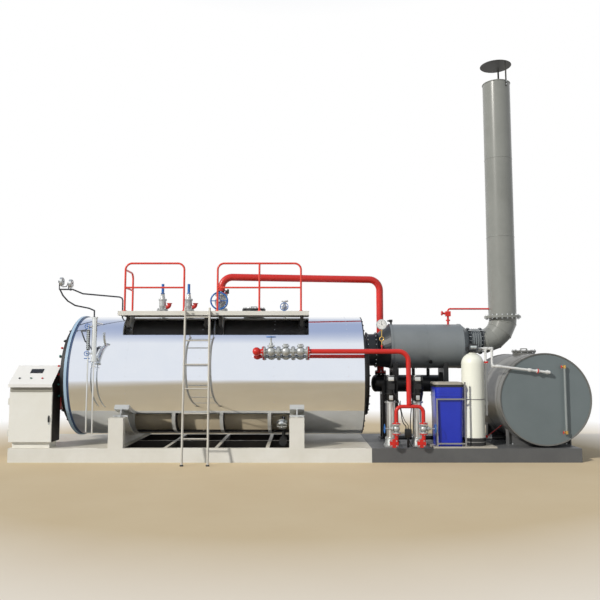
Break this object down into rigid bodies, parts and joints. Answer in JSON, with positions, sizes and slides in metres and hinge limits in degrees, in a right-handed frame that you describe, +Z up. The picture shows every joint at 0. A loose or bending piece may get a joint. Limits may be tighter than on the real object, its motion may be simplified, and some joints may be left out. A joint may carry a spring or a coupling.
{
  "type": "skid-mounted horizontal fire-tube steam boiler plant",
  "caption": "Horizontal fire-tube steam boiler on a steel skid with walkway, feed pumps, steam header, economiser, chimney, water softener and feed tank.",
  "frame": {"origin": "centre of the skid's underside, on the ground", "axes": "+X along the skid from the control cabinet to the feed tank, +Z up, -Y towards the side with the ladder"},
  "size_m": [9.5319, 2.4752, 7.18],
  "materials": {
    "cream_paint": "semi-gloss cream paint",
    "plant_grey": "satin grey paint",
    "mirror_steel": "mirror-polished stainless cladding",
    "band_blue": "gloss light blue paint",
    "black_paint": "satin black paint",
    "signal_red": "gloss red paint",
    "galvanised": "galvanised steel",
    "valve_steel": "aluminium-painted casting",
    "wheel_blue": "gloss blue paint",
    "gauge_brass": "brass fittings and case",
    "pump_steel": "stainless sleeves on a cast foot",
    "slate_paint": "satin slate paint",
    "duct_grey": "satin dark grey paint",
    "chimney_grey": "satin grey paint",
    "base_beige": "satin beige paint",
    "brine_blue": "moulded blue polyethylene",
    "vessel_cream": "gel-coated fibreglass",
    "head_black": "black moulded plastic",
    "pipe_white": "white PVC",
    "tank_grey": "semi-gloss grey paint"
  },
  "bodies": {
    "plant": {"skid_boiler": "cream_paint", "skid_plant": "plant_grey", "boiler_saddles": "cream_paint", "boiler_shell": "mirror_steel", "front_band": "band_blue", "front_end_plate": "black_paint", "smokebox_door": "black_paint", "burner": "signal_red", "rear_smokebox": "black_paint", "manhole": "black_paint", "walkway_left": "cream_paint", "walkway_right": "cream_paint", "guardrail_left": "signal_red", "guardrail_right": "signal_red", "ladder": "galvanised", "safety_valves": "valve_steel", "steam_valve": "valve_steel", "steam_pipe": "signal_red", "vent_valve": "valve_steel", "gauge_pipework": "valve_steel", "level_column": "galvanised", "handhole": "galvanised", "feed_valves": "valve_steel", "feed_pipe": "signal_red", "discharge_gauge": "gauge_brass", "pump_casings": "pump_steel", "pump_motors": "black_paint", "pump_valves": "valve_steel", "pump_manifold": "signal_red", "suction_pipe": "black_paint", "steam_header": "black_paint", "header_legs": "black_paint", "flue_neck": "slate_paint", "economizer_shell": "duct_grey", "economizer_inlet": "slate_paint", "economizer_outlet": "duct_grey", "economizer_stand": "black_paint", "economizer_vent": "signal_red", "bellows": "duct_grey", "chimney_elbow": "duct_grey", "chimney": "chimney_grey", "rain_cap": "duct_grey", "softener_base": "base_beige", "brine_tank": "brine_blue", "softener_vessel": "vessel_cream", "softener_head": "head_black", "water_pipes": "pipe_white", "tank_shell": "tank_grey", "tank_front_head": "tank_grey", "tank_back_head": "tank_grey", "tank_manhole": "tank_grey", "tank_level_gauge": "galvanised", "tank_saddles": "plant_grey", "cabinet_body": "cream_paint", "cabinet_desk": "cream_paint", "blowdown_pipe": "galvanised"},
    "door": {"cabinet_door": "cream_paint"},
    "main_wheel": {"steam_wheel": "wheel_blue"},
    "small_wheel": {"vent_wheel": "wheel_blue"},
    "stop_wheel": {"feed_wheel": "wheel_blue"}
  },
  "joints": [
    {"name": "cabinet_door_hinge", "type": "hinge", "parent": "plant", "child": "door", "pos_m": [-4.663, -1.031, 0.721], "axis": [0, 0, -1], "range_deg": [0, 110]},
    {"name": "steam_wheel_turn", "type": "hinge", "parent": "plant", "child": "main_wheel", "pos_m": [-1.34, -0.33, 2.687], "axis": [0, -1, 0], "range_deg": [0, 1440]},
    {"name": "vent_wheel_turn", "type": "hinge", "parent": "plant", "child": "small_wheel", "pos_m": [-0.197, -0.23, 2.592], "axis": [0, -1, 0], "range_deg": [0, 1440]},
    {"name": "feed_wheel_turn", "type": "hinge", "parent": "plant", "child": "stop_wheel", "pos_m": [-0.39, -1.085, 2.025], "axis": [0, 0, 1], "range_deg": [0, 1440]}
  ]
}
